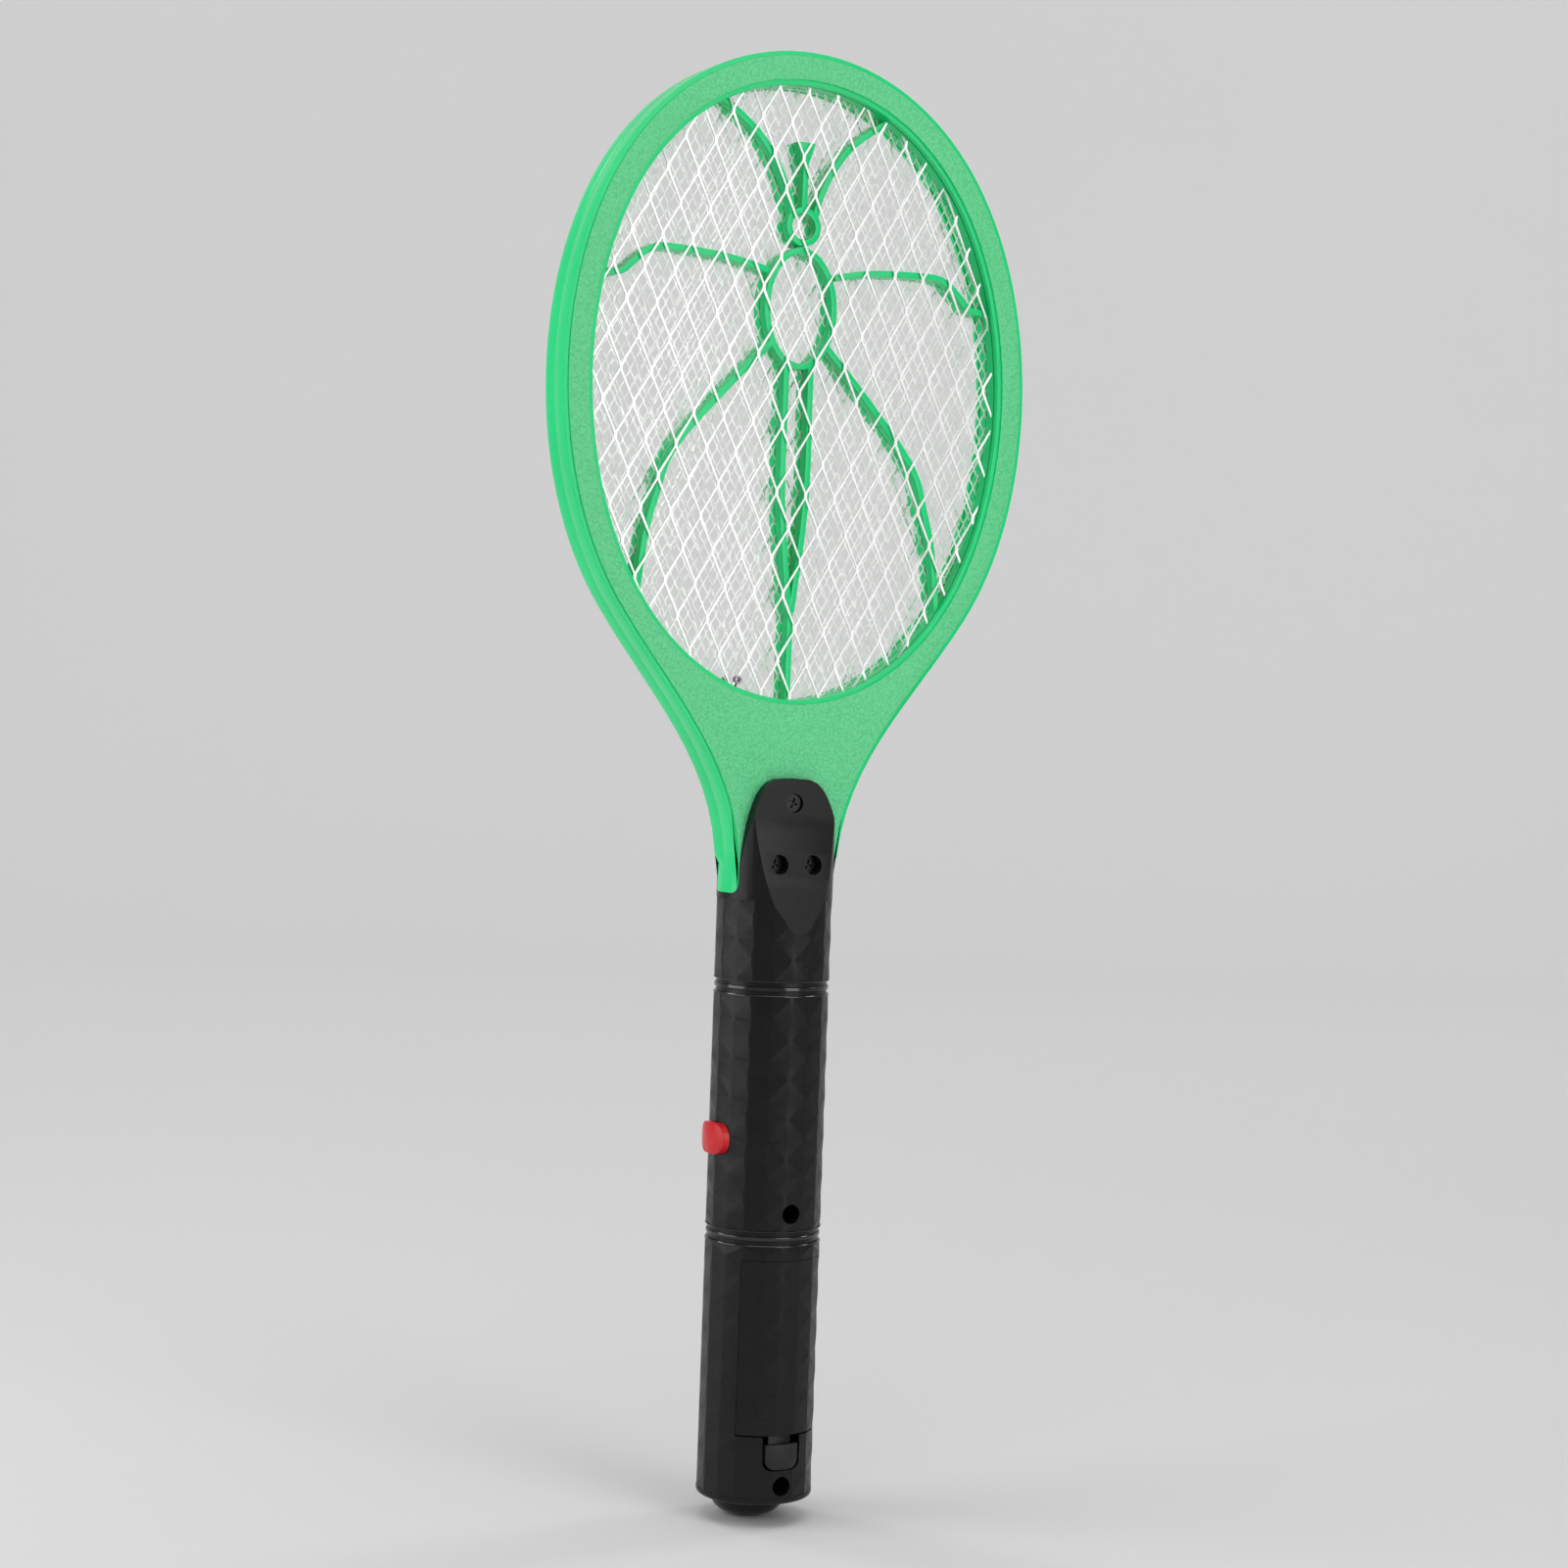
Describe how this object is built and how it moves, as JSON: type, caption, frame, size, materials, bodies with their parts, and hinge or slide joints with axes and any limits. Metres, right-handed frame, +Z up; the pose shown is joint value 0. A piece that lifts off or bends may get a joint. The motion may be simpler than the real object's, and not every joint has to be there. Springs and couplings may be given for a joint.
{
  "type": "electric fly swatter",
  "caption": "Racket-shaped electric fly swatter: round battery handle with a push button, battery door and screws, and an egg-shaped hoop holding layered wire nets with moulded ribs.",
  "frame": {"origin": "lowest point of the end dome's level, on the handle's axis and in the plane where the two halves meet", "axes": "+Z up along the handle to the hoop's top, -Y towards the side with the screws and the battery door, -X towards the push button"},
  "size_m": [0.1614, 0.036, 0.4526],
  "materials": {
    "frame_green": "glossy with a pebble-grained band",
    "net_metal": "bright expanded metal",
    "contact_metal": "nickel plated",
    "wire_red": "soft sleeve",
    "wire_black": "soft sleeve",
    "handle_black": "satin, faceted relief",
    "cap_black": "glossy",
    "button_red": "glossy",
    "component_black": "moulded",
    "plunger_white": "moulded",
    "board_green": "solder mask",
    "ferrite": "sintered",
    "winding_tape": "tape",
    "capacitor_film": "dipped",
    "resistor_tan": "lacquered",
    "cell_jacket": "printed sleeve without text",
    "screw_steel": "zinc plated"
  },
  "bodies": {
    "handle": {"head_frame_rear": "frame_green", "head_frame_front": "frame_green", "rib_spacer_rear": "frame_green", "rib_spacer_front": "frame_green", "outer_net_rear": "net_metal", "outer_net_front": "net_metal", "center_net": "net_metal", "net_rivet_rear": "contact_metal", "net_rivet_front": "contact_metal", "net_lead_rear": "wire_red", "net_lead_front": "wire_red", "net_lead_center": "wire_black", "handle_rear_shell": "handle_black", "handle_front_shell": "handle_black", "end_cap": "cap_black", "switch_body": "component_black", "circuit_board": "board_green", "transformer_core": "ferrite", "transformer_winding": "winding_tape", "storage_capacitor": "capacitor_film", "rectifier_diodes": "component_black", "transistor": "component_black", "resistors": "resistor_tan", "battery_left": "cell_jacket", "battery_right": "cell_jacket", "contact_bridge": "contact_metal", "spring_bottom": "contact_metal", "spring_top": "contact_metal", "positive_terminal": "contact_metal", "negative_terminal": "contact_metal", "battery_lead_red": "wire_red", "battery_lead_black": "wire_black", "tongue_screws": "screw_steel", "handle_screws": "screw_steel"},
    "door": {"battery_door": "handle_black"},
    "latch": {"door_latch": "handle_black"},
    "button": {"push_button": "button_red"},
    "plunger": {"switch_plunger": "plunger_white"}
  },
  "joints": [
    {"name": "button_press", "type": "slide", "parent": "handle", "child": "button", "axis": [1, 0, 0], "range_m": [0, 0.0015], "stiffness_N_per_m": 800},
    {"name": "plunger_press", "type": "slide", "parent": "handle", "child": "plunger", "axis": [1, 0, 0], "range_m": [0, 0.0015], "stiffness_N_per_m": 200},
    {"name": "door_swing", "type": "hinge", "parent": "handle", "child": "door", "pos_m": [0, -0.018, 0.0825], "axis": [-1, 0, 0], "range_deg": [0, 75]},
    {"name": "latch_slide", "type": "slide", "parent": "door", "child": "latch", "axis": [0, 0, 1], "range_m": [0, 0.0016], "stiffness_N_per_m": 600}
  ],
  "couplings": [
    {"joint": "plunger_press", "follows": "button_press", "ratio": 1}
  ]
}
